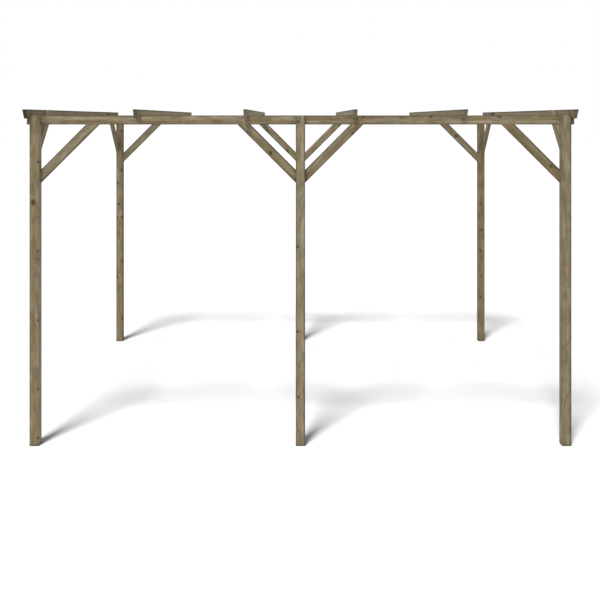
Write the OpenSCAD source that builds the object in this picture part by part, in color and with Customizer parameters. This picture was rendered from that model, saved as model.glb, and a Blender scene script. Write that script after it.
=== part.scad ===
// Open timber carport frame: six square posts in two rows, a beam along each row,
// rafters across from row to row, and short braces at 45 degrees in the corners.
// Origin on the ground at the middle of the whole plan, rafter ends included,
// +X along the beams, +Y from the front row to the back row, +Z up.

/* [Overall] */
// Width over the outer faces of the end posts
frame_w = 4045; // [2400:5:6000]
// Depth over the outer faces of the front and back posts
frame_d = 3000; // [1800:5:6000]
// Clear height from the ground to the underside of the beams
clear_h = 2400; // [1800:5:3200]

/* [Posts] */
// Side of the square posts
post_side = 70; // [50:1:120]

/* [Beams] */
// Thickness of the beams
beam_t = 28; // [18:1:45]
// Height of the beams
beam_h = 68; // [50:1:160]
// How far the beams run on past the outer rafters
beam_past_rafter = 6; // [0:1:100]

/* [Rafters] */
// Number of rafters, always even so that none stands over a middle post
rafter_count = 6; // [4:2:10]
// Thickness of the rafters
rafter_t = 28; // [18:1:60]
// Height of the rafters
rafter_h = 68; // [50:1:120]
// How far the top edge of a rafter runs past the front posts
rafter_past_front = 80; // [40:1:400]
// How far the top edge of a rafter runs past the back posts
rafter_past_back = 42; // [40:1:400]
// Slant of the rafter ends, from upright
rafter_end_slant = 32; // [0:1:35]
// Depth of the notch that seats a rafter over a beam
notch_h = 23.5; // [5:0.5:40]
// Clearance across the notch, shared by its two sides
notch_clearance = 1; // [0:0.1:1.8]

/* [Braces] */
// Thickness of the braces
brace_t = 28; // [18:1:45]
// Width of the braces
brace_w = 68; // [45:1:120]
// Reach of a brace's outer edge, the same down the post and along the timber above
brace_leg = 438; // [250:1:700]

/* [Hidden] */
// The brace runs up at 45 degrees
BRACE_RISE = 45;
// How far a cutting shape reaches past the faces it cuts
OVERCUT = 1;

// Levels
beam_top = clear_h + beam_h;
rafter_z = beam_top - notch_h;
rafter_top = rafter_z + rafter_h;

// Plan: distances from the middle of the posts
outer_x = frame_w / 2;
post_x = outer_x - post_side / 2;
outer_y = frame_d / 2;
inner_y = outer_y - post_side;
beam_y = inner_y + beam_t / 2;
beam_half_l = outer_x + rafter_t + beam_past_rafter;
rafter_first_x = -outer_x - rafter_t / 2;
rafter_pitch = (frame_w + rafter_t) / (rafter_count - 1);
// The posts stand this far back, as the rafters run on further at the front
posts_mid_y = (rafter_past_front - rafter_past_back) / 2;

// Names of the columns and rows, and where each one lies
COLUMNS = [["left", -1], ["middle", 0], ["right", 1]];
ENDS = [["left", -1], ["right", 1]];
ROWS = [["front", -1], ["back", 1]];
// Each row brace: its name, the column it stands on and the way it leans
ROW_BRACES = [
    ["left_brace", -1, 1],
    ["middle_left_brace", 0, -1],
    ["middle_right_brace", 0, 1],
    ["right_brace", 1, -1],
];

POST_COLOUR = [0.53, 0.48, 0.38];
BEAM_COLOUR = [0.54, 0.49, 0.39];
RAFTER_COLOUR = [0.51, 0.47, 0.38];
BRACE_COLOUR = [0.55, 0.50, 0.40];

function rafter_name(number) = str("rafter_", number);

// Everything in a row is drawn as it stands in the front row
module in_row(side) {
    translate([0, posts_mid_y, 0])
        mirror([0, side > 0 ? 1 : 0, 0])
            children();
}

// Everything that has a left and a right hand is drawn as it stands on the right
module on_end(side) {
    mirror([side < 0 ? 1 : 0, 0, 0])
        children();
}

// Square post, housed at the top of its inner face for the beam
module post(column) {
    color(POST_COLOUR)
        translate([column * post_x - post_side / 2, -outer_y, 0])
            difference() {
                cube([post_side, post_side, beam_top]);
                translate([-OVERCUT, post_side - beam_t, clear_h])
                    cube([post_side + 2 * OVERCUT, beam_t + OVERCUT, beam_h + OVERCUT]);
            }
}

// Half of a row's beam, from the middle post's housing out past the end rafter
module beam() {
    color(BEAM_COLOUR)
        translate([0, -inner_y - beam_t, clear_h])
            cube([beam_half_l, beam_t, beam_h]);
}

// Side outline of a rafter: slanted ends, and a notch over each beam
module rafter_outline() {
    front_y = -outer_y - rafter_past_front;
    back_y = outer_y + rafter_past_back;
    slant_l = rafter_h * tan(rafter_end_slant);
    notch_w = beam_t + notch_clearance;
    difference() {
        polygon([[front_y + slant_l, 0], [back_y - slant_l, 0], [back_y, rafter_h], [front_y, rafter_h]]);
        for (side = [-1, 1])
            translate([side * beam_y - notch_w / 2, -OVERCUT])
                square([notch_w, notch_h + OVERCUT]);
    }
}

// Rafters are numbered from the left
module rafter(number) {
    color(RAFTER_COLOUR)
        translate([rafter_first_x + (number - 1) * rafter_pitch - rafter_t / 2, posts_mid_y, rafter_z])
            rotate([90, 0, 90])
                linear_extrude(rafter_t)
                    rafter_outline();
}

// Outline of a brace from the foot of its post cut to its level top cut
module brace_outline() {
    cut_l = brace_w / cos(BRACE_RISE);
    polygon([[0, -brace_leg], [brace_leg, 0], [brace_leg - cut_l, 0], [0, cut_l - brace_leg]]);
}

// Brace in the plane of the row, from the side of a post up to the beam
module row_brace(column, lean) {
    color(BRACE_COLOUR)
        translate([column * post_x + lean * post_side / 2, -inner_y, clear_h])
            on_end(lean)
                rotate([90, 0, 0])
                    linear_extrude(brace_t)
                        brace_outline();
}

// Brace from an end post's inner face up along the inside of the end rafter
module side_brace() {
    color(BRACE_COLOUR)
        translate([outer_x - brace_t, -inner_y, rafter_top])
            rotate([90, 0, 90])
                linear_extrude(brace_t)
                    brace_outline();
}

for (row = ROWS) {
    for (column = COLUMNS)
        in_row(row[1]) post(column[1]);
    for (end = ENDS)
        in_row(row[1]) on_end(end[1]) beam();
    for (brace = ROW_BRACES)
        in_row(row[1]) row_brace(brace[1], brace[2]);
    for (end = ENDS)
        in_row(row[1]) on_end(end[1]) side_brace();
}
for (number = [1 : rafter_count])
    rafter(number);
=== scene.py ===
"""Finishes the open timber carport frame: planed, pressure-treated softwood with rounded arrises,
knots, drying checks and screws, on a plain pale floor under soft studio light."""

import math
import random

import bmesh
import bpy
from mathutils import Matrix, Vector


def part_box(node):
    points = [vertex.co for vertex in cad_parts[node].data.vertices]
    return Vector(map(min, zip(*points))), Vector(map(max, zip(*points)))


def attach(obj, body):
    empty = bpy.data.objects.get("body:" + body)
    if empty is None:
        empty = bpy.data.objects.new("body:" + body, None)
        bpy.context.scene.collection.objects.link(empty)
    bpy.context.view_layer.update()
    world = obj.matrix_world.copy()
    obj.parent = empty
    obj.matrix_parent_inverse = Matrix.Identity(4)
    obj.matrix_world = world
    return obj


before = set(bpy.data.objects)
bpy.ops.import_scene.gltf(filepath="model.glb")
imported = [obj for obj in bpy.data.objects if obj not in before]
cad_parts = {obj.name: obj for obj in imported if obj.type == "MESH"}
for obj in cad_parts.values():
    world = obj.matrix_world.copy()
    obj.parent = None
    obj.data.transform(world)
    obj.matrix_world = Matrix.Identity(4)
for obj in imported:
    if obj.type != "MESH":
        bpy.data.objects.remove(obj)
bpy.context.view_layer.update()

X, Y, Z = Vector((1, 0, 0)), Vector((0, 1, 0)), Vector((0, 0, 1))

# How far the long edges are rounded, in metres
POST_ARRIS = 0.0035
BOARD_ARRIS = 0.0022
# How round a sawn edge is, as a share of an arris
SAWN_EDGE = 0.12

# How far grime and painted shade reach in from an arris and from a narrow side, in metres
ARRIS_GRIME_AND_SHADE = 0.008
SIDE_GRIME_AND_SHADE = 0.010
# How far water soaks in at a timber's ends, in metres
RAFTER_SOAK = 0.12
SOAK = 0.04
# How much darker the wood is where water has soaked in, as a share
BEAM_SOAKED = 0.40
SOAKED = 0.12
# How wide a drying check gapes, in metres
CHECK_GAPE = 0.0014
# How high each mark stands on the wood, as a share of the relief's depth. Drying checks are sunk
RELIEF = {"Latewood": 0.35, "Fibre": 0.45, "Knots": 0.4, "Check": -3.0}
RELIEF_DEPTH = 0.0008

# Colours of the treated softwood, linear
WOOD = (0.262, 0.208, 0.119, 1)
PALE = (0.360, 0.310, 0.212, 1)
OLIVE = (0.190, 0.172, 0.086, 1)
BROWN = (0.215, 0.150, 0.076, 1)
GREY = (0.285, 0.255, 0.195, 1)
# Dark, laid in bands; along the rafters' tops and the front right post's right edge it is painted shade
DARK = (0.095, 0.082, 0.050, 1)
# Grime, also laid as painted shade along arrises, narrow sides and the feet of posts
GRIME_AND_SHADE = (0.060, 0.052, 0.034, 1)
TEA = (0.86, 0.76, 0.60, 1)
LATEWOOD = (0.128, 0.084, 0.040, 1)
KNOT_WOOD = (0.062, 0.038, 0.007, 1)
KNOT_RIM = (0.040, 0.026, 0.014, 1)
RESIN = (0.200, 0.110, 0.052, 1)
CRACK = (0.026, 0.020, 0.013, 1)
# What the treatment and the weather leave on the wood: how strongly at most, and its colour
WEATHERING = {"Green": (0.55, OLIVE), "Grey": (0.55, GREY), "Brown": (0.45, BROWN)}
# How much darker and lighter weathered patches are, as shares
DARKER_PATCH = 0.16
LIGHTER_PATCH = 0.14

# Colours of the screws, linear
STEEL = (0.330, 0.320, 0.290, 1)
RUST = (0.130, 0.075, 0.040, 1)
# Soot and painted shade in the driver recess
SOOT_AND_SHADE = (0.040, 0.036, 0.032, 1)


# ---------------------------------------------------------------- where each timber lies

post_low, post_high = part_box("front_left_post")
beam_low, beam_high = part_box("front_left_beam")
POST = (post_high - post_low).x
BOARD_W = (beam_high - beam_low).z
BOARD_T = (beam_high - beam_low).y
POSTS_MIDDLE = (post_low.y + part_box("back_left_post")[1].y) / 2


def brace_lean(node, middle):
    """The axis a brace runs out along, and whether it leans up towards plus or minus."""
    if node.endswith("_side_brace"):
        return Y, -math.copysign(1, middle.y)
    leans = {"left_brace": 1, "middle_left_brace": -1, "middle_right_brace": 1, "right_brace": -1}
    return X, leans[node.split("_", 1)[1]]


class Timber:
    """A timber's own axes: across its width, through its thickness and along its grain."""

    def __init__(self, node):
        low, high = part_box(node)
        self.node = node
        self.centre = (low + high) / 2
        self.length = max(high - low)
        self.half = (BOARD_W / 2, BOARD_T / 2)
        if node.endswith("_post"):
            self.across, self.grain = X, Z
            self.half = (POST / 2, POST / 2)
        elif self.is_beam():
            self.across, self.grain = Z, X
        elif self.is_rafter():
            self.across, self.grain = Z, Y
        else:
            # A brace's box is a square with the brace's outer edge as its diagonal
            axis, lean = brace_lean(node, self.centre)
            self.grain = (lean * axis + Z).normalized()
            self.across = (Z - lean * axis).normalized()
            self.centre += self.across * BOARD_W / 2
            self.length *= math.sqrt(2)
        self.through = self.grain.cross(self.across)
        self.turn = Matrix((self.across, self.through, self.grain)).transposed()

    def own(self, place):
        """A place in the frame, measured from the timber's middle along its own axes."""
        return self.turn.transposed() @ (Vector(place) - self.centre)

    def place_at(self, across, through, along):
        """The place in the frame that lies so far from the timber's middle along its own axes."""
        return self.centre + self.turn @ Vector((across, through, along))

    def is_rafter(self):
        return self.node.startswith("rafter")

    def is_beam(self):
        return self.node.endswith("_beam")

    def is_post(self):
        return self.half[0] == self.half[1]


timbers = {node: Timber(node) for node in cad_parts}


# ---------------------------------------------------------------- node building

class Nodes:
    """Short ways to add shader or geometry nodes to a tree."""

    def __init__(self, tree):
        self.tree = tree

    def add(self, kind, **settings):
        node = self.tree.nodes.new(kind)
        for name, value in settings.items():
            setattr(node, name, value)
        return node

    def feed(self, socket, value):
        if isinstance(value, bpy.types.NodeSocket):
            self.tree.links.new(value, socket)
        else:
            socket.default_value = value

    def math(self, operation, *values, clamp=False):
        node = self.add("ShaderNodeMath", operation=operation, use_clamp=clamp)
        for socket, value in zip(node.inputs, values):
            self.feed(socket, value)
        return node.outputs[0]

    def vector(self, operation, *values, scale=None):
        node = self.add("ShaderNodeVectorMath", operation=operation)
        for socket, value in zip(node.inputs, values):
            self.feed(socket, value)
        if scale is not None:
            self.feed(node.inputs["Scale"], scale)
        return node.outputs["Value" if operation in ("DOT_PRODUCT", "LENGTH", "DISTANCE") else "Vector"]

    def split(self, vector):
        node = self.add("ShaderNodeSeparateXYZ")
        self.feed(node.inputs[0], vector)
        return node.outputs

    def ease(self, value, low, high, to_low=0.0, to_high=1.0):
        """Maps low..high smoothly onto to_low..to_high."""
        node = self.add("ShaderNodeMapRange", interpolation_type="SMOOTHSTEP")
        for socket, number in zip(node.inputs[:5], (value, low, high, to_low, to_high)):
            self.feed(socket, number)
        return node.outputs["Result"]

    def noise(self, place, stretch, detail=2.0, rough=0.5):
        """Noise whose patches are 1/stretch long on each axis."""
        node = self.add("ShaderNodeTexNoise")
        self.feed(node.inputs["Vector"], self.vector("MULTIPLY", place, stretch))
        node.inputs["Scale"].default_value = 1.0
        node.inputs["Detail"].default_value = detail
        node.inputs["Roughness"].default_value = rough
        return node.outputs[0]

    def line_noise(self, value, scale, detail=1.0):
        """Noise along a single value."""
        node = self.add("ShaderNodeTexNoise", noise_dimensions="1D")
        self.feed(node.inputs["W"], value)
        node.inputs["Scale"].default_value = scale
        node.inputs["Detail"].default_value = detail
        return node.outputs[0]

    def mix(self, share, first, second, blend="MIX"):
        node = self.add("ShaderNodeMix", data_type="RGBA", blend_type=blend)
        for socket, value in zip((node.inputs[0], node.inputs[6], node.inputs[7]), (share, first, second)):
            self.feed(socket, value)
        return node.outputs[2]

    def stain(self, colour, mask, strength, tint):
        """The colour with a tint laid over it, as strongly as the mask shows."""
        return self.mix(self.math("MULTIPLY", mask, strength), colour, tint)

    def group(self, tree, **values):
        """Places a node group, with its inputs given by name, underscores for spaces."""
        node = self.add("ShaderNodeGroup", node_tree=tree)
        for name, value in values.items():
            self.feed(node.inputs[name.replace("_", " ")], value)
        return node.outputs


def new_group(name, inputs, outputs):
    """A shader group with named sockets. Returns its tree, its builder, its inputs and its outputs."""
    tree = bpy.data.node_groups.new(name, "ShaderNodeTree")
    for label, default in inputs.items():
        kind = "NodeSocketFloat" if isinstance(default, float) else "NodeSocketVector"
        tree.interface.new_socket(label, in_out="INPUT", socket_type=kind).default_value = default
    for label in outputs:
        tree.interface.new_socket(label, in_out="OUTPUT", socket_type="NodeSocketFloat")
    n = Nodes(tree)
    return tree, n, n.add("NodeGroupInput").outputs, n.add("NodeGroupOutput").inputs


# ---------------------------------------------------------------- wood effects

def shifted(n, given, step):
    """The place moved by the seed, so that no two timbers show the same noise."""
    return n.vector("ADD", given["Place"], n.vector("SCALE", step, scale=given["Seed"]))


def growth_rings_group():
    """Rings about the heart of the log, seen as lines on the faces and arcs on the ends."""
    tree, n, given, result = new_group(
        "growth rings",
        {"Place": (0, 0, 0), "Heart": (0, 0, 0), "Ring Width": 0.004, "Wander": 0.006, "Push": 0.0,
         "Seed": 0.0},
        ["Latewood", "Year"])
    ripple_size = 0.0016
    uneven_years = 1.6
    seed_step = 90.0
    place = shifted(n, given, (31, 57, 13))
    slow = n.noise(place, (9, 9, 1.1))
    fine = n.noise(place, (55, 55, 5))
    from_heart = n.vector("SUBTRACT", given["Place"], given["Heart"])
    radius = n.vector("LENGTH", n.vector("MULTIPLY", from_heart, (1, 1, 0)))
    bend = n.math("MULTIPLY", n.math("SUBTRACT", slow, 0.5), given["Wander"])
    ripple = n.math("MULTIPLY", n.math("SUBTRACT", fine, 0.5), ripple_size)
    radius = n.math("ADD", n.math("ADD", radius, bend), n.math("ADD", ripple, given["Push"]))
    years = n.math("DIVIDE", radius, given["Ring Width"])
    age = n.math("ADD", years, n.math("MULTIPLY", given["Seed"], seed_step))
    years = n.math("ADD", years, n.math("MULTIPLY", n.line_noise(age, 0.45), uneven_years))
    season = n.math("FRACT", years)
    latewood = n.math("MULTIPLY", n.ease(season, 0.45, 0.88), n.ease(season, 0.93, 1.0, 1.0, 0.0))
    n.feed(result["Latewood"], latewood)
    n.feed(result["Year"], n.ease(n.line_noise(age, 0.3), 0.3, 0.7))
    return tree


def fibres_group():
    """Fine fibres and broader streaks that run along the grain."""
    tree, n, given, result = new_group("fibres", {"Place": (0, 0, 0), "Seed": 0.0}, ["Fibre", "Streak"])
    place = shifted(n, given, (23, 41, 7))
    n.feed(result["Fibre"], n.noise(place, (700, 700, 11), detail=4, rough=0.65))
    n.feed(result["Streak"], n.noise(place, (120, 120, 2.2), rough=0.55))
    return tree


def knot_group():
    """A branch through the timber, longer along the grain. It adds to the knots placed before it."""
    tree, n, given, result = new_group(
        "knot",
        {"Place": (0, 0, 0), "Centre": (0, 0, 0), "Branch": (0, 1, 0), "Radius": 0.01,
         "Knots Before": 0.0, "Rims Before": 0.0, "Halo Before": 0.0, "Push Before": 0.0},
        ["Knots", "Rims", "Halo", "Push"])
    squeeze_along_grain = (1, 1, 0.74)
    swirl_base = 2.718
    swirl_falloff = -0.22
    push_per_radius = 0.9
    offset = n.vector("SUBTRACT", given["Place"], given["Centre"])
    along = n.vector("DOT_PRODUCT", offset, given["Branch"])
    beside = n.vector("SUBTRACT", offset, n.vector("SCALE", given["Branch"], scale=along))
    beside = n.vector("MULTIPLY", beside, squeeze_along_grain)
    wobble = n.noise(n.vector("ADD", given["Place"], (0.37, 0.11, 0.53)), (85, 85, 85), detail=1)
    reach = n.math("DIVIDE", n.vector("LENGTH", beside), given["Radius"])
    reach = n.math("ADD", reach, n.math("MULTIPLY", n.math("SUBTRACT", wobble, 0.5), 0.5))
    inside = n.ease(reach, 0.86, 1.04, 1.0, 0.0)
    rim = n.math("MULTIPLY", n.ease(reach, 0.72, 0.95), n.ease(reach, 0.98, 1.45, 1.0, 0.0))
    halo = n.ease(reach, 1.0, 2.6, 1.0, 0.0)
    fall = n.math("MULTIPLY", n.math("MULTIPLY", reach, reach), swirl_falloff)
    swirl = n.math("POWER", swirl_base, fall)
    n.feed(result["Knots"], n.math("MAXIMUM", given["Knots Before"], inside))
    n.feed(result["Rims"], n.math("MAXIMUM", given["Rims Before"], rim))
    n.feed(result["Halo"], n.math("MAXIMUM", given["Halo Before"], halo))
    push = n.math("MULTIPLY", swirl, n.math("MULTIPLY", given["Radius"], push_per_radius))
    n.feed(result["Push"], n.math("ADD", given["Push Before"], push))
    return tree


def band_group():
    """A soft band along the grain, where the face cuts shallow through the rings. A few listed bands are
    painted light and painted shade along an edge instead.
    """
    tree, n, given, result = new_group(
        "band", {"Place": (0, 0, 0), "Middle": 0.0, "Half Width": 0.01, "Seed": 0.0}, ["Band"])
    wander_size = 0.008
    seed_step = 70.0
    axes = n.split(given["Place"])
    start = n.math("MULTIPLY", n.math("ADD", given["Seed"], given["Middle"]), seed_step)
    along = n.math("ADD", axes["Z"], start)
    wander = n.math("MULTIPLY", n.math("SUBTRACT", n.line_noise(along, 2.2, 2.0), 0.5), wander_size)
    aside = n.math("ABSOLUTE", n.math("ADD", n.math("SUBTRACT", axes["X"], given["Middle"]), wander))
    shape = n.ease(n.math("DIVIDE", aside, given["Half Width"]), 0.25, 1.4, 1.0, 0.0)
    strength = n.ease(n.line_noise(n.math("ADD", along, 9.0), 5.0, 2.0), 0.3, 0.6, 0.7, 1.0)
    n.feed(result["Band"], n.math("MULTIPLY", shape, strength))
    return tree


def weather_group():
    """Slow changes along the timber: how green, how grey and how shaded it has gone."""
    tree, n, given, result = new_group(
        "weather", {"Place": (0, 0, 0), "Seed": 0.0}, ["Green", "Grey", "Brown", "Shade"])
    place = shifted(n, given, (17, 29, 33))
    green = n.noise(place, (38, 38, 6))
    grey = n.noise(n.vector("ADD", place, (5, 3, 1)), (46, 46, 5))
    brown = n.noise(n.vector("ADD", place, (7, 2, 9)), (40, 40, 8))
    shade = n.noise(n.vector("ADD", place, (1, 8, 4)), (26, 26, 9), detail=3, rough=0.6)
    n.feed(result["Green"], n.ease(green, 0.46, 0.60))
    n.feed(result["Grey"], n.ease(grey, 0.48, 0.62))
    n.feed(result["Brown"], n.ease(brown, 0.48, 0.64))
    n.feed(result["Shade"], n.ease(shade, 0.34, 0.66))
    return tree


def arris_group():
    """How near the surface is to one of the four long edges, from 0 to 1."""
    tree, n, given, result = new_group(
        "arris",
        {"Place": (0, 0, 0), "Half Width": 0.035, "Half Thickness": 0.035, "Reach": 0.01, "Seed": 0.0},
        ["Arris"])
    axes = n.split(given["Place"])
    side = n.math("SUBTRACT", given["Half Width"], n.math("ABSOLUTE", axes["X"]))
    face = n.math("SUBTRACT", given["Half Thickness"], n.math("ABSOLUTE", axes["Y"]))
    from_edge = n.math("MAXIMUM", n.math("MAXIMUM", side, face), 0.0)
    uneven = n.noise(shifted(n, given, (11, 19, 23)), (40, 40, 9))
    reach = n.math("MULTIPLY", given["Reach"], n.ease(uneven, 0.3, 0.7, 0.75, 1.2))
    n.feed(result["Arris"], n.math("SUBTRACT", 1.0, n.math("DIVIDE", from_edge, reach), clamp=True))
    return tree


def narrow_side_group():
    """How near the surface is to the narrow side on one hand, from 0 to 1, uneven along the timber."""
    tree, n, given, result = new_group(
        "narrow side",
        {"Place": (0, 0, 0), "Half Width": 0.035, "Hand": 1.0, "Reach": 0.01, "Seed": 0.0},
        ["Side"])
    across = n.math("MULTIPLY", n.split(given["Place"])["X"], given["Hand"])
    from_side = n.math("SUBTRACT", given["Half Width"], across)
    uneven = n.noise(shifted(n, given, (13, 5, 37)), (30, 30, 12))
    reach = n.math("MULTIPLY", given["Reach"], n.ease(uneven, 0.3, 0.7, 0.75, 1.25))
    n.feed(result["Side"], n.ease(n.math("DIVIDE", from_side, reach), 0.15, 1.0, 1.0, 0.0))
    return tree


def end_grain_group():
    """Where the grain is cut across, and how near that is, from 0 to 1."""
    tree, n, given, result = new_group(
        "end grain",
        {"Place": (0, 0, 0), "Normal": (0, 0, 1), "Grain": (0, 0, 1), "Half Length": 1.0, "Soak": 0.1},
        ["End", "Near End"])
    facing = n.math("ABSOLUTE", n.vector("DOT_PRODUCT", given["Normal"], given["Grain"]))
    n.feed(result["End"], n.ease(facing, 0.35, 0.6))
    from_end = n.math("SUBTRACT", given["Half Length"], n.math("ABSOLUTE", n.split(given["Place"])["Z"]))
    n.feed(result["Near End"], n.ease(n.math("DIVIDE", from_end, given["Soak"]), 0.0, 1.0, 1.0, 0.0))
    return tree


def drying_check_group():
    """A crack that opened outwards from the heart as the timber dried, tapering along its length."""
    tree, n, given, result = new_group(
        "drying check",
        {"Place": (0, 0, 0), "Heart": (0, 0, 0), "Out": (0, 1, 0), "Width": 0.0012, "Middle": 0.0,
         "Half Length": 0.4, "Seed": 0.0},
        ["Check"])
    wander_size = 0.012
    seed_step = 50.0
    least_width = 0.00001
    offset = n.vector("SUBTRACT", given["Place"], given["Heart"])
    height = n.split(given["Place"])["Z"]
    along = n.math("ADD", height, n.math("MULTIPLY", given["Seed"], seed_step))
    aside = n.vector("DOT_PRODUCT", offset, n.vector("CROSS_PRODUCT", given["Out"], (0, 0, 1)))
    wander = n.math("MULTIPLY", n.math("SUBTRACT", n.line_noise(along, 6.0, 5.0), 0.5), wander_size)
    from_middle = n.math("ABSOLUTE", n.math("SUBTRACT", height, given["Middle"]))
    taper = n.ease(n.math("DIVIDE", from_middle, given["Half Length"]), 0.2, 1.0, 1.0, 0.0)
    opening = n.ease(n.line_noise(n.math("ADD", along, 20.0), 4.0, 3.0), 0.3, 0.55)
    width = n.math("MULTIPLY", n.math("MULTIPLY", given["Width"], taper), opening)
    from_crack = n.math("ABSOLUTE", n.math("ADD", aside, wander))
    near = n.math("DIVIDE", from_crack, n.math("MAXIMUM", width, least_width))
    outward = n.math("GREATER_THAN", n.vector("DOT_PRODUCT", offset, given["Out"]), 0.0)
    n.feed(result["Check"], n.math("MULTIPLY", n.ease(near, 0.35, 1.0, 1.0, 0.0), outward))
    return tree


def foot_shade_group():
    """Painted contact shade along the foot of a post, where it stands on the floor."""
    tree, n, given, result = new_group(
        "foot shade", {"Place": (0, 0, 0), "Half Length": 1.2}, ["Dirt"])
    darkest = 0.7
    from_ground = n.math("ADD", n.split(given["Place"])["Z"], given["Half Length"])
    n.feed(result["Dirt"], n.ease(from_ground, 0.004, 0.016, darkest, 0.0))
    return tree


def open_underside_group():
    """Falls to 0 where a brace covers the timber, so that neither grime nor painted shade is laid there.
    """
    tree, n, given, result = new_group(
        "open underside", {"Place": (0, 0, 0), "Middle": 0.0, "Open Before": 1.0}, ["Open"])
    away = n.math("ABSOLUTE", n.math("SUBTRACT", n.split(given["Place"])["Z"], given["Middle"]))
    clear = n.ease(away, BOARD_W * 0.6, BOARD_W * 0.85)
    n.feed(result["Open"], n.math("MULTIPLY", given["Open Before"], clear))
    return tree


def worn_steel_group():
    """Blotches of rust and fine scratches."""
    tree, n, given, result = new_group("worn steel", {"Place": (0, 0, 0)}, ["Rust", "Scratches"])
    blotches = n.noise(given["Place"], (350, 350, 350), detail=3)
    n.feed(result["Rust"], n.ease(blotches, 0.45, 0.7))
    n.feed(result["Scratches"], n.noise(given["Place"], (900, 2600, 900)))
    return tree


RINGS = growth_rings_group()
FIBRES = fibres_group()
KNOT = knot_group()
BAND = band_group()
WEATHER = weather_group()
ARRIS = arris_group()
NARROW_SIDE = narrow_side_group()
END_GRAIN = end_grain_group()
DRYING_CHECK = drying_check_group()
FOOT_SHADE = foot_shade_group()
OPEN_UNDERSIDE = open_underside_group()
WORN_STEEL = worn_steel_group()
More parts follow.
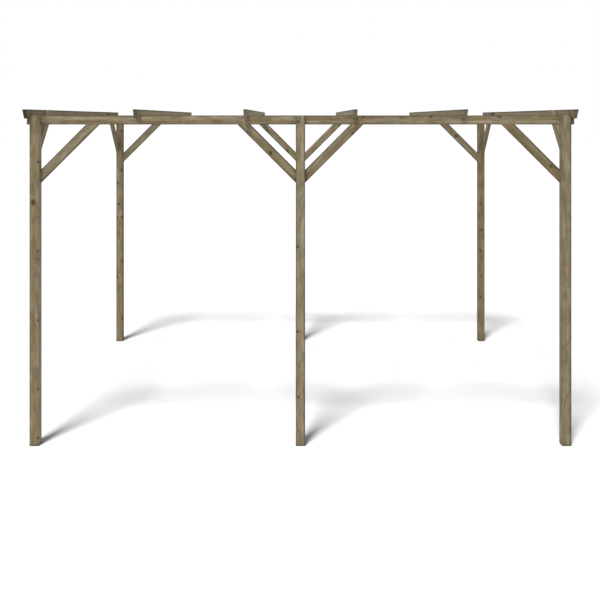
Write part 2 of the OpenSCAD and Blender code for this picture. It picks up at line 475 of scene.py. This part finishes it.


# ---------------------------------------------------------------- how each timber looks

# Tone is how light the timber is, and warm is how far it leans to brown. Sides are how much grime and
# painted
# shade lie along the two narrow sides: on posts right and left, on boards upper and lower. End is how dark
# the cut ends are, end grain that on the rafters' sloping ends is also painted shade, and patchy is how
# strongly the weather shows.
# Bands: across from the middle and half width in mm, the colour, and how strongly it shows. A few bands
# are painted light and painted shade along an edge, as noted at those timbers.
# Knots: on posts, beams and row braces X and Z, on rafters Y and Z, then the radius, all in mm,
# measured from the ground at the middle of the posts.
LOOKS = {
    # The upper side's grime here is painted shade. It deepens the shadow that rafter 1 casts on the
    # brace's upper edge.
    "front_left_side_brace": {
        "tone": 0.90, "warm": 0.2, "sides": (0.3, 0.8),
        "bands": [(-8, 12, PALE, 0.3)],
        "knots": [],
    },
    "front_right_side_brace": {
        "tone": 0.93, "warm": 0.1, "sides": (0.0, 0.8), "patchy": 0.4,
        "bands": [(-14, 12, GREY, 0.4)],
        "knots": [],
    },
    # The PALE band at 36 mm lightens the post's inner side, which faces away from the key lamp: painted
    # light.
    "front_left_post": {
        "tone": 0.93, "warm": 0.30, "sides": (0.0, 0.15),
        "bands": [(-20, 5, PALE, 0.5), (-30, 6, GREY, 0.4), (-4, 9, BROWN, 0.35), (36, 6, PALE, 1.0)],
        "knots": [(-1993, 1819, 14), (-1959, 2120, 6), (-1960, 1456, 6), (-1960, 1393, 6),
                  (-1960, 938, 6), (-1960, 426, 6), (-1960, 60, 6)],
    },
    "front_middle_post": {
        "tone": 0.94, "warm": 0.0, "sides": (0.9, 0.7),
        "bands": [(16, 8, PALE, 1.0), (-8, 13, BROWN, 0.35)],
        "knots": [(-17, 2420, 8), (-22, 1486, 7), (-20, 855, 7), (-18, 365, 7)],
    },
    # Its right side's grime and the DARK band at 27 mm are painted shade on the edge turned away from the
    # key lamp.
    "front_right_post": {
        "tone": 0.93, "warm": 0.10, "sides": (1.0, 0.0),
        "bands": [(0, 9, PALE, 0.8), (-27, 8, BROWN, 0.3), (27, 8, DARK, 0.7)],
        "knots": [],
    },
    "back_left_post": {
        "tone": 0.97, "warm": 0.45, "sides": (0.5, 0.6),
        "bands": [(0, 14, WOOD, 0.4)],
        "knots": [(-1959, 2308, 12), (-1959, 1880, 12), (-2014, 1737, 10), (-1992, 1507, 9),
                  (-1959, 1364, 10), (-2014, 1364, 9), (-1959, 881, 9), (-2014, 705, 10), (-1959, 250, 9)],
    },
    "back_right_post": {
        "tone": 0.81, "warm": 0.55, "sides": (0.6, 0.0),
        "bands": [(0, 14, BROWN, 0.4)],
        "knots": [(1976, 1513, 9), (1987, 1225, 9), (1976, 997, 9), (1987, 711, 9), (1976, 480, 9)],
    },
    "front_left_beam": {
        "tone": 0.92, "warm": 0.15, "sides": (0.75, 1.0),
        "bands": [(17, 9, PALE, 1.0), (-12, 12, BROWN, 0.85)],
        "knots": [],
    },
    "front_right_beam": {
        "tone": 0.90, "warm": 0.22, "sides": (0.8, 0.9),
        "bands": [(-15, 8, PALE, 1.0), (15, 15, BROWN, 0.9), (12, 13, DARK, 0.15)],
        "knots": [(470, 2460, 8), (981, 2459, 8), (1496, 2459, 8)],
    },
    "front_left_brace": {
        "tone": 0.88, "warm": 0.0, "sides": (1.0, 0.65),
        "bands": [(-1, 10, PALE, 0.85)],
        "knots": [],
    },
    "front_middle_left_brace": {
        "tone": 0.86, "warm": 0.35, "sides": (1.0, 0.9),
        "bands": [(5, 9, PALE, 0.6), (-18, 10, BROWN, 0.7)],
        "knots": [(-225, 2187, 10)],
    },
    "front_middle_right_brace": {
        "tone": 0.94, "warm": 0.35, "sides": (1.0, 1.0),
        "bands": [(13, 9, PALE, 0.7), (-14, 14, BROWN, 0.6)],
        "knots": [(396, 2331, 9)],
    },
    "front_right_brace": {
        "tone": 0.84, "warm": 0.55, "sides": (1.0, 0.0),
        "bands": [(0, 24, BROWN, 0.5)],
        "knots": [(1883, 2088, 8)],
    },
    "back_left_brace": {
        "tone": 0.80, "warm": 0.05, "sides": (0.9, 0.7),
        "bands": [(6, 10, PALE, 0.25), (26, 8, BROWN, 0.4)],
        "knots": [],
    },
    "back_middle_left_brace": {
        "tone": 0.83, "warm": 0.0, "sides": (0.8, 1.0),
        "bands": [(10, 12, PALE, 0.25), (-26, 8, DARK, 0.3)],
        "knots": [(-144, 2088, 12)],
    },
    "back_middle_right_brace": {
        "tone": 0.92, "warm": 0.0, "sides": (0.0, 0.9),
        "bands": [(19, 9, PALE, 0.8), (-12, 12, BROWN, 0.4)],
        "knots": [],
    },
    "back_right_brace": {
        "tone": 0.82, "warm": 0.20, "sides": (0.8, 0.9),
        "bands": [(16, 12, BROWN, 0.4)],
        "knots": [(1705, 2252, 12)],
    },
    # On every rafter the upper side's grime and the DARK band at 30 mm darken the top edge: grime and
    # painted shade.
    "rafter_1": {
        "tone": 0.72, "warm": 0.15, "sides": (1.0, 0.4), "end": 0.68, "patchy": 0.4,
        "bands": [(30, 9, DARK, 1.0)],
        "knots": [(-1452, 2479, 9)],
    },
    "rafter_2": {
        "tone": 0.93, "warm": 0.15, "sides": (1.0, 0.2), "end": 0.42, "patchy": 0.4,
        "bands": [(30, 8, DARK, 0.8)],
        "knots": [],
    },
    "rafter_3": {
        "tone": 0.89, "warm": 0.0, "sides": (0.9, 0.2), "end": 0.00, "patchy": 0.4,
        "bands": [(30, 8, DARK, 0.6)],
        "knots": [],
    },
    "rafter_4": {
        "tone": 0.93, "warm": 0.05, "sides": (0.8, 0.2), "end": 0.20, "patchy": 0.4,
        "bands": [(8, 12, PALE, 0.3), (31, 7, DARK, 0.4)],
        "knots": [],
    },
    "rafter_5": {
        "tone": 0.83, "warm": 0.20, "sides": (1.0, 0.2), "end": 0.05, "patchy": 0.4,
        "bands": [(30, 8, DARK, 0.7)],
        "knots": [(-7, 2464, 10)],
    },
    "rafter_6": {
        "tone": 0.86, "warm": 0.05, "sides": (1.0, 0.2), "end": 0.27, "patchy": 0.4,
        "bands": [(30, 8, DARK, 0.8)],
        "knots": [(-1455, 2479, 8), (727, 2461, 10)],
    },
}


# What a timber has where LOOKS says nothing
PLAIN_LOOK = {"tone": 0.88, "warm": 0.2, "sides": (0.4, 0.4), "end": 0.27, "patchy": 1.0}


def placed_knots(timber, listed):
    """Knots where they are listed, each running straight through the timber."""
    knots = []
    for first, up, radius in listed:
        if timber.is_rafter():
            spot = (timber.centre.x, POSTS_MIDDLE + first / 1000, up / 1000)
        else:
            spot = (first / 1000, timber.centre.y, up / 1000)
        knots.append((timber.own(spot), Vector((0, 1, 0)), radius / 1000))
    return knots


def covered_spans(timber):
    """Where braces meet the underside of a beam, as middles along its own axis."""
    if not timber.is_beam():
        return []
    row = timber.node.split("_")[0]
    spans = []
    for brace in timbers.values():
        if brace.node.startswith(row) and brace.node.endswith("_brace") and brace.grain.x:
            top = brace.centre + brace.grain * (brace.length - BOARD_W) / 2
            spans.append(timber.own(top).z)
    return [span for span in spans if abs(span) < timber.length / 2]


def random_bands(rng):
    """Two soft bands of different colours, in the same form as the listed ones."""
    tints = rng.sample((PALE, BROWN, OLIVE, GREY), 2)
    return [(rng.uniform(-24, 24), rng.uniform(8, 14), tint, rng.uniform(0.3, 0.6)) for tint in tints]


def random_knots(timber, rng, heart, count):
    """Knots that run out from the heart, on boards through the wide faces."""
    knots = []
    for _ in range(count):
        turn = rng.uniform(0, 2 * math.pi)
        out = Vector((math.cos(turn), math.sin(turn), 0))
        if not timber.is_post():
            aim = Vector((rng.uniform(-0.8, 0.8) * timber.half[0], 0, 0))
            out = (aim - heart).normalized()
        centre = heart + Vector((0, 0, rng.uniform(-0.45, 0.45) * timber.length))
        branch = (out + Vector((0, 0, rng.uniform(0.0, 0.25)))).normalized()
        knots.append((centre, branch, rng.uniform(0.004, 0.009)))
    return knots


def timber_look(timber):
    """How one timber was cut and how it has aged. The same every run."""
    rng = random.Random("softwood " + timber.node)
    listed = LOOKS.get(timber.node)
    if timber.is_post():
        heart = Vector((rng.uniform(-0.012, 0.012), rng.uniform(-0.012, 0.012), 0))
    else:
        heart = Vector((rng.uniform(-0.02, 0.02), rng.choice((-1, 1)) * rng.uniform(0.03, 0.07), 0))
    look = {
        "seed": rng.uniform(0.05, 1), "heart": heart, "ring": rng.uniform(0.003, 0.0048),
        "wander": rng.uniform(0.006, 0.014), "out": rng.choice((X, Y, -1 * X)),
        "check_middle": rng.uniform(-0.3, 0.3) * timber.length,
        "check_half": rng.uniform(0.12, 0.25) * timber.length,
    }
    look.update(PLAIN_LOOK)
    if listed:
        look.update(listed)
        look["knots"] = placed_knots(timber, listed["knots"])
    else:
        look["bands"] = random_bands(rng)
        look["knots"] = random_knots(timber, rng, heart, rng.randint(1, 3))
    return look


def timber_axes(n, timber):
    """The place in the timber's own axes, x across, y through and z along the grain, and the normal."""
    coordinates = n.add("ShaderNodeTexCoord").outputs
    mapping = n.add("ShaderNodeMapping", vector_type="TEXTURE")
    n.feed(mapping.inputs["Vector"], coordinates["Object"])
    mapping.inputs["Location"].default_value = timber.centre
    mapping.inputs["Rotation"].default_value = timber.turn.to_euler()
    return mapping.outputs["Vector"], coordinates["Normal"]


def knot_marks(n, place, knots):
    """The masks of all the timber's knots, each knot added to those before it."""
    marks = {"Knots": 0.0, "Rims": 0.0, "Halo": 0.0, "Push": 0.0}
    for centre, branch, radius in knots:
        before = {label + "_Before": value for label, value in marks.items()}
        out = n.group(KNOT, Place=place, Centre=centre, Branch=branch, Radius=radius, **before)
        marks = {label: out[label] for label in marks}
    return marks


def timber_marks(n, timber, look):
    """The masks and values that the timber's colour and relief are made from, by name."""
    place, normal = timber_axes(n, timber)
    seed = look["seed"]
    marks = knot_marks(n, place, look["knots"])
    marks.update({"Place": place, "Check": 0.0, "Open": 1.0})
    placed = [
        n.group(RINGS, Place=place, Heart=look["heart"], Ring_Width=look["ring"],
                Wander=look["wander"], Push=marks["Push"], Seed=seed),
        n.group(FIBRES, Place=place, Seed=seed),
        n.group(WEATHER, Place=place, Seed=seed),
        n.group(ARRIS, Place=place, Half_Width=timber.half[0], Half_Thickness=timber.half[1],
                Reach=ARRIS_GRIME_AND_SHADE, Seed=seed),
        n.group(END_GRAIN, Place=place, Normal=normal, Grain=timber.grain,
                Half_Length=timber.length / 2, Soak=RAFTER_SOAK if timber.is_rafter() else SOAK),
    ]
    if timber.is_post():
        placed.append(n.group(DRYING_CHECK, Place=place, Heart=look["heart"], Out=look["out"],
                              Width=CHECK_GAPE, Middle=look["check_middle"],
                              Half_Length=look["check_half"], Seed=seed))
        placed.append(n.group(FOOT_SHADE, Place=place, Half_Length=timber.length / 2))
    for outputs in placed:
        marks.update({socket.name: socket for socket in outputs})
    for middle in covered_spans(timber):
        out = n.group(OPEN_UNDERSIDE, Place=place, Middle=middle, Open_Before=marks["Open"])
        marks["Open"] = out["Open"]
    return marks


def fresh_wood(n, look, marks):
    """The colour of the wood with its bands, streaks and rings. A few listed bands are painted light and
    painted shade.
    """
    colour = n.stain(WOOD, marks["Year"], 0.35, PALE)
    for middle, half_width, tint, strength in look["bands"]:
        band = n.group(BAND, Place=marks["Place"], Middle=middle / 1000,
                       Half_Width=half_width / 1000, Seed=look["seed"])["Band"]
        colour = n.stain(colour, band, strength, tint)
    colour = n.stain(colour, n.ease(marks["Streak"], 0.45, 0.7), 0.35, BROWN)
    return n.stain(colour, marks["Latewood"], 0.50, LATEWOOD)


def weathered(n, timber, look, marks, colour):
    """The colour after the treatment and the weather, darker towards the ends."""
    patchy = look["patchy"]
    for label, (strength, tint) in WEATHERING.items():
        colour = n.stain(colour, marks[label], strength * patchy, tint)
    colour = n.mix(look["warm"], colour, n.mix(1.0, colour, TEA, "MULTIPLY"))
    patches = n.ease(marks["Shade"], 0.0, 1.0, 1 - DARKER_PATCH * patchy, 1 + LIGHTER_PATCH * patchy)
    shade = n.math("MULTIPLY", patches, n.ease(marks["Fibre"], 0.36, 0.66, 0.80, 1.12))
    near_end = n.math("MULTIPLY", marks["Near End"], BEAM_SOAKED if timber.is_beam() else SOAKED)
    shade = n.math("MULTIPLY", shade, n.math("SUBTRACT", look["tone"], near_end))
    # Cut end faces darker by the look's end: end grain, and on the rafters' sloping ends also painted
    # shade
    end = n.math("MULTIPLY", marks["End"], look["end"])
    shade = n.math("MULTIPLY", shade, n.math("SUBTRACT", 1.0, end))
    return n.mix(1.0, colour, n.vector("SCALE", (1, 1, 1), scale=shade), "MULTIPLY")


def knotted(n, marks, colour):
    """The colour with its knots: resin about them, a dark rim and the branch's own wood."""
    colour = n.stain(colour, marks["Halo"], 0.3, RESIN)
    colour = n.stain(colour, marks["Rims"], 0.8, KNOT_RIM)
    branch = n.mix(n.ease(marks["Fibre"], 0.45, 0.75, 0.0, 0.4), KNOT_WOOD, RESIN)
    return n.mix(marks["Knots"], colour, branch)


def dirtied_and_shaded(n, timber, look, marks, colour):
    """The colour with grime and painted shade on the narrow sides and arrises, painted contact shade at
    the feet of posts, and drying checks.
    """
    for hand, strength in zip((1.0, -1.0), look["sides"]):
        side = n.group(NARROW_SIDE, Place=marks["Place"], Half_Width=timber.half[0], Hand=hand,
                       Reach=SIDE_GRIME_AND_SHADE, Seed=look["seed"])["Side"]
        # Narrow sides darkened: grime and painted shade
        side_grime_and_shade = n.math("MULTIPLY", side, strength)
        colour = n.stain(colour, side_grime_and_shade, marks["Open"] if hand < 0 else 1.0, GRIME_AND_SHADE)
    # Arrises darkened: grime and painted shade
    arris = n.math("MULTIPLY", marks["Arris"], 0.35)
    colour = n.stain(colour, arris, marks["Open"], GRIME_AND_SHADE)
    if timber.is_post():
        # Painted contact shade at the foot of a post
        colour = n.mix(marks["Dirt"], colour, GRIME_AND_SHADE)
    return n.mix(marks["Check"], colour, CRACK)


def wood_relief(n, marks):
    """The normal over raised rings, fibres and knots and sunken checks."""
    height = 0.0
    for label, rise in RELIEF.items():
        height = n.math("ADD", height, n.math("MULTIPLY", marks[label], rise))
    bump = n.add("ShaderNodeBump")
    bump.inputs["Strength"].default_value = 0.5
    bump.inputs["Distance"].default_value = RELIEF_DEPTH
    n.feed(bump.inputs["Height"], height)
    return bump.outputs["Normal"]


def timber_material(timber):
    """The whole finish of one timber."""
    look = timber_look(timber)
    material = bpy.data.materials.new(timber.node + "_softwood")
    material.use_nodes = True
    n = Nodes(material.node_tree)
    surface = material.node_tree.nodes["Principled BSDF"]
    marks = timber_marks(n, timber, look)
    colour = weathered(n, timber, look, marks, fresh_wood(n, look, marks))
    colour = dirtied_and_shaded(n, timber, look, marks, knotted(n, marks, colour))
    n.feed(surface.inputs["Base Color"], colour)
    rough = n.ease(marks["Fibre"], 0.2, 0.8, 0.70, 0.86)
    n.feed(surface.inputs["Roughness"], n.math("SUBTRACT", rough, n.math("MULTIPLY", marks["Knots"], 0.2)))
    surface.inputs["Specular IOR Level"].default_value = 0.25
    n.feed(surface.inputs["Normal"], wood_relief(n, marks))
    return material


# ---------------------------------------------------------------- rounded arrises

def arris_weights_group():
    """Marks the timber's long outer edges to be rounded fully, and its sawn edges only a little."""
    parallel = 0.999
    edge_margin = 0.0005
    least_fold = 0.3
    tree = bpy.data.node_groups.new("arris weights", "GeometryNodeTree")
    tree.interface.new_socket("Geometry", in_out="INPUT", socket_type="NodeSocketGeometry")
    for label in ("Grain", "Across", "Through", "Centre"):
        tree.interface.new_socket(label, in_out="INPUT", socket_type="NodeSocketVector")
    for label in ("Half Width", "Half Thickness"):
        tree.interface.new_socket(label, in_out="INPUT", socket_type="NodeSocketFloat")
    tree.interface.new_socket("Geometry", in_out="OUTPUT", socket_type="NodeSocketGeometry")
    n = Nodes(tree)
    given = n.add("NodeGroupInput").outputs
    ends = n.add("GeometryNodeInputMeshEdgeVertices").outputs
    run = n.vector("NORMALIZE", n.vector("SUBTRACT", ends["Position 2"], ends["Position 1"]))
    along = n.math("ABSOLUTE", n.vector("DOT_PRODUCT", run, given["Grain"]))
    outer = n.math("GREATER_THAN", along, parallel)
    middle = n.vector("SCALE", n.vector("ADD", ends["Position 1"], ends["Position 2"]), scale=0.5)
    middle = n.vector("SUBTRACT", middle, given["Centre"])
    for axis, half in (("Across", "Half Width"), ("Through", "Half Thickness")):
        away = n.math("ABSOLUTE", n.vector("DOT_PRODUCT", middle, given[axis]))
        at_edge = n.math("GREATER_THAN", away, n.math("SUBTRACT", given[half], edge_margin))
        outer = n.math("MULTIPLY", outer, at_edge)
    fold = n.add("GeometryNodeInputMeshEdgeAngle").outputs["Signed Angle"]
    outward = n.math("GREATER_THAN", fold, least_fold)
    weight = n.math("MULTIPLY", outward, n.math("MAXIMUM", outer, SAWN_EDGE))
    store = n.add("GeometryNodeStoreNamedAttribute", data_type="FLOAT", domain="EDGE")
    n.feed(store.inputs["Geometry"], given["Geometry"])
    store.inputs["Name"].default_value = "bevel_weight_edge"
    n.feed(store.inputs["Value"], weight)
    n.feed(n.add("NodeGroupOutput").inputs["Geometry"], store.outputs["Geometry"])
    return tree


ARRIS_WEIGHTS = arris_weights_group()


def round_arrises(obj, timber):
    """Welds the timber's corners, marks its edges and rounds them, all as modifiers."""
    weld = obj.modifiers.new("weld", "WELD")
    weld.merge_threshold = 0.00005
    marks = obj.modifiers.new("arris weights", "NODES")
    marks.node_group = ARRIS_WEIGHTS
    values = {"Grain": timber.grain, "Across": timber.across, "Through": timber.through,
              "Centre": timber.centre, "Half Width": timber.half[0], "Half Thickness": timber.half[1]}
    for item in ARRIS_WEIGHTS.interface.items_tree:
        if item.in_out == "INPUT" and item.name in values:
            value = values[item.name]
            marks[item.identifier] = value if isinstance(value, float) else list(value)
    bevel = obj.modifiers.new("arrises", "BEVEL")
    bevel.limit_method = "WEIGHT"
    bevel.offset_type = "OFFSET"
    bevel.width = POST_ARRIS if timber.is_post() else BOARD_ARRIS
    bevel.segments = 4
    bevel.harden_normals = True


for node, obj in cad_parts.items():
    obj.data.materials.clear()
    obj.data.materials.append(timber_material(timbers[node]))
    round_arrises(obj, timbers[node])


# ---------------------------------------------------------------- screws

# Every size of the screws is in metres
# Steps round a head
SEGMENTS = 36
# The lobed driver recess: how many lobes, mean radius and how deep the lobes are
LOBES = 6
RECESS_R = 0.0021
RECESS_LOBE = 0.00035
# Rings of a countersunk head from below its rim to its recess: radius, height, lobed or round
HEAD_RINGS = [
    (0.0030, -0.0016, False),
    (0.0046, 0.0000, False),
    (0.0048, 0.0003, False),
    (0.0047, 0.0006, False),
    (0.0043, 0.0008, False),
    (0.0032, 0.0009, False),
    (RECESS_R, 0.0009, True),
    (RECESS_R - 0.0001, 0.0001, True),
]
# A pair of beam screws: how far each stands to the side and up or down from the pair's middle
END_POST_SPREAD = 0.017
MIDDLE_POST_SPREAD = 0.006
BEAM_SCREW_RISE = 0.016
# How far a pair's middle lies from the middle post's middle, where two beams share the post
SHARED_POST_OFFSET = 0.017
# Rafter screws: how high above the beam, and how deep the slant sinks them
RAFTER_SCREW_UP = 0.020
RAFTER_SCREW_SUNK = 0.001
# Brace screws: how far in from the tip, and the pair where a side brace laps its rafter
BRACE_SCREW_IN = 0.032
LAP_IN = 1.2 * BOARD_W
LAP_ACROSS = 0.015
LAP_ALONG = 0.008


def add_head(mesh, place, axis, twist):
    """One screw head whose rim lies on the timber at a place, facing along an axis."""
    turn = axis.to_track_quat("Z", "Y").to_matrix()
    rings = []
    for radius, height, lobed in HEAD_RINGS:
        ring = []
        for step in range(SEGMENTS):
            angle = 2 * math.pi * step / SEGMENTS
            reach = radius + RECESS_LOBE * math.cos(LOBES * angle) if lobed else radius
            spot = Vector((reach * math.cos(angle + twist), reach * math.sin(angle + twist), height))
            ring.append(mesh.verts.new(place + turn @ spot))
        rings.append(ring)
    recess_wall = len(rings) - 2
    for number, (outer, inner) in enumerate(zip(rings, rings[1:])):
        for step in range(SEGMENTS):
            after = (step + 1) % SEGMENTS
            face = mesh.faces.new((outer[step], outer[after], inner[after], inner[step]))
            face.smooth = number < recess_wall - 1
            face.material_index = int(number == recess_wall)
    mesh.faces.new(rings[-1]).material_index = 1
    mesh.faces.new(reversed(rings[0]))


def steel_material(name, tint, roughest):
    """Dull plated steel with fine scratches and a little rust."""
    material = bpy.data.materials.new(name)
    material.use_nodes = True
    n = Nodes(material.node_tree)
    surface = material.node_tree.nodes["Principled BSDF"]
    worn = n.group(WORN_STEEL, Place=n.add("ShaderNodeTexCoord").outputs["Object"])
    n.feed(surface.inputs["Base Color"], n.stain(tint, worn["Rust"], 0.5, RUST))
    surface.inputs["Metallic"].default_value = 0.85
    n.feed(surface.inputs["Roughness"], n.ease(worn["Scratches"], 0.3, 0.7, roughest - 0.2, roughest))
    bump = n.add("ShaderNodeBump")
    bump.inputs["Strength"].default_value = 0.2
    bump.inputs["Distance"].default_value = 0.0002
    n.feed(bump.inputs["Height"], worn["Scratches"])
    n.feed(surface.inputs["Normal"], bump.outputs["Normal"])
    return material


def make_screws(name, places, materials):
    """One piece that holds a screw head at each place, facing along the axis given with it."""
    rng = random.Random(name)
    shape = bmesh.new()
    for place, axis in places:
        add_head(shape, place, axis.normalized(), rng.uniform(0, math.pi))
    mesh = bpy.data.meshes.new(name)
    shape.to_mesh(mesh)
    shape.free()
    for material in materials:
        mesh.materials.append(material)
    piece = bpy.data.objects.new(name, mesh)
    bpy.context.scene.collection.objects.link(piece)
    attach(piece, "root")
    return piece


def beam_screws():
    """Two screws through each beam end into its post, from inside the frame."""
    places = []
    for row in ("front", "back"):
        inward = Y if row == "front" else -1 * Y
        for side in ("left", "right"):
            beam = timbers[f"{row}_{side}_beam"]
            for column in (side, "middle"):
                middle = timbers[f"{row}_{column}_post"].centre.x
                spread = END_POST_SPREAD
                if column == "middle":
                    middle += math.copysign(SHARED_POST_OFFSET, beam.centre.x)
                    spread = MIDDLE_POST_SPREAD
                for step in (-1, 1):
                    up = beam.centre.z + step * BEAM_SCREW_RISE
                    spot = Vector((middle + step * spread, beam.centre.y, up))
                    places.append((spot + inward * BOARD_T / 2, inward))
    return places


def rafter_screws():
    """A slanting screw from each rafter's outer side down into each beam."""
    places = []
    for rafter in timbers.values():
        if not rafter.is_rafter():
            continue
        outward = X * math.copysign(1, rafter.centre.x)
        for row in ("front", "back"):
            beam = timbers[f"{row}_left_beam"]
            up = beam.centre.z + BOARD_W / 2 + RAFTER_SCREW_UP
            spot = Vector((rafter.centre.x, beam.centre.y, up))
            places.append((spot + outward * (BOARD_T / 2 - RAFTER_SCREW_SUNK), outward * 2 + Z))
    return places


def brace_screws():
    """Screws through the outer edge at the braces' tips, and two from each side brace into its rafter."""
    places = []
    for node, brace in timbers.items():
        if not node.endswith("_brace"):
            continue
        tips = (-1, 1)
        if node.endswith("_side_brace"):
            tips = (-1,)
            inward = X * -math.copysign(1, brace.centre.x)
            lap = brace.length / 2 - LAP_IN
            for step in (-1, 1):
                spot = brace.place_at(step * LAP_ACROSS, 0, lap - step * LAP_ALONG)
                places.append((spot + inward * BOARD_T / 2, inward))
        for tip in tips:
            spot = brace.place_at(-BOARD_W / 2, 0, tip * (brace.length / 2 - BRACE_SCREW_IN))
            places.append((spot, -1 * brace.across))
    return places


# The driver recess takes a dark material: soot and painted shade in the hollow
screw_steel = [steel_material("plated steel", STEEL, 0.6), steel_material("driver recess", SOOT_AND_SHADE, 0.8)]
screws = [
    make_screws("beam_screws", beam_screws(), screw_steel),
    make_screws("rafter_screws", rafter_screws(), screw_steel),
    make_screws("brace_screws", brace_screws(), screw_steel),
]


# ---------------------------------------------------------------- floor, light and camera

# How pale the floor is, and how far it reaches each way, in metres
FLOOR_PALENESS = 0.384
FLOOR_REACH = 80.0
# Strength of the light from all round
SKY = 0.50
# Both lamps: how far round from straight ahead, and how high above the ground, in degrees
LAMP_TURN = 22
LAMP_RISE = 63
# Strength of each lamp, and how wide it looks from the frame, in degrees
FLOOR_LAMP, FLOOR_LAMP_SPREAD = 8.2, 12
KEY_LAMP, KEY_LAMP_SPREAD = 2.6, 10
# The level camera: distance from the front posts' faces and height, in metres, and its lens shift
CAMERA_DISTANCE = 6.219
CAMERA_HEIGHT = 2.4438
CAMERA_SHIFT = (-0.00075, -0.30225)


def studio_floor():
    """A wide pale floor: plain white where it is lit, darker only in the frame's shadow."""
    signs = ((-1, -1), (1, -1), (1, 1), (-1, 1))
    corners = [(FLOOR_REACH * x, FLOOR_REACH * y, 0) for x, y in signs]
    mesh = bpy.data.meshes.new("floor")
    mesh.from_pydata(corners, [], [(0, 1, 2, 3)])
    floor = bpy.data.objects.new("floor", mesh)
    bpy.context.scene.collection.objects.link(floor)
    material = bpy.data.materials.new("pale floor")
    material.use_nodes = True
    surface = material.node_tree.nodes["Principled BSDF"]
    surface.inputs["Base Color"].default_value = (FLOOR_PALENESS, FLOOR_PALENESS, FLOOR_PALENESS, 1)
    surface.inputs["Roughness"].default_value = 1.0
    surface.inputs["Specular IOR Level"].default_value = 0.0
    mesh.materials.append(material)
    return floor


def studio_world():
    """Even light from all round, and plain white where the camera looks past the floor."""
    world = bpy.data.worlds.new("studio")
    world.use_nodes = True
    bpy.context.scene.world = world
    n = Nodes(world.node_tree)
    light = world.node_tree.nodes["Background"]
    light.inputs["Color"].default_value = (1, 1, 1, 1)
    light.inputs["Strength"].default_value = SKY
    white = n.add("ShaderNodeBackground")
    white.inputs["Color"].default_value = (1, 1, 1, 1)
    white.inputs["Strength"].default_value = 1.0
    path = n.add("ShaderNodeLightPath").outputs
    seen = n.math("MAXIMUM", path["Is Camera Ray"],
                  n.math("MAXIMUM", path["Is Glossy Ray"], path["Is Transmission Ray"]))
    mix = n.add("ShaderNodeMixShader")
    n.feed(mix.inputs[0], seen)
    n.feed(mix.inputs[1], light.outputs[0])
    n.feed(mix.inputs[2], white.outputs[0])
    n.feed(world.node_tree.nodes["World Output"].inputs["Surface"], mix.outputs[0])


def studio_lamp(name, strength, spread, receivers):
    """A soft distant lamp from the front left, on the given objects only."""
    data = bpy.data.lights.new(name, "SUN")
    data.energy = strength
    data.angle = math.radians(spread)
    lamp = bpy.data.objects.new(name, data)
    bpy.context.scene.collection.objects.link(lamp)
    turn, rise = math.radians(LAMP_TURN), math.radians(LAMP_RISE)
    level = math.cos(rise)
    down = Vector((math.sin(turn) * level, math.cos(turn) * level, -math.sin(rise)))
    lamp.rotation_euler = down.to_track_quat("-Z", "Y").to_euler()
    lit = bpy.data.collections.new(name + " lights")
    for obj in receivers:
        lit.objects.link(obj)
    lamp.light_linking.receiver_collection = lit


def level_camera():
    """A level camera that looks straight at the front row."""
    data = bpy.data.cameras.new("camera")
    data.lens = 50.0
    data.sensor_width = 36.0
    data.shift_x, data.shift_y = CAMERA_SHIFT
    camera = bpy.data.objects.new("camera", data)
    bpy.context.scene.collection.objects.link(camera)
    camera.location = (0.0, post_low.y - CAMERA_DISTANCE, CAMERA_HEIGHT)
    camera.rotation_euler = (math.radians(90), 0, 0)
    return camera


floor = studio_floor()
studio_world()
studio_lamp("floor lamp", FLOOR_LAMP, FLOOR_LAMP_SPREAD, [floor])
studio_lamp("key lamp", KEY_LAMP, KEY_LAMP_SPREAD, list(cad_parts.values()) + screws)
bpy.context.scene.camera = level_camera()

bpy.context.scene.view_settings.view_transform = "Standard"
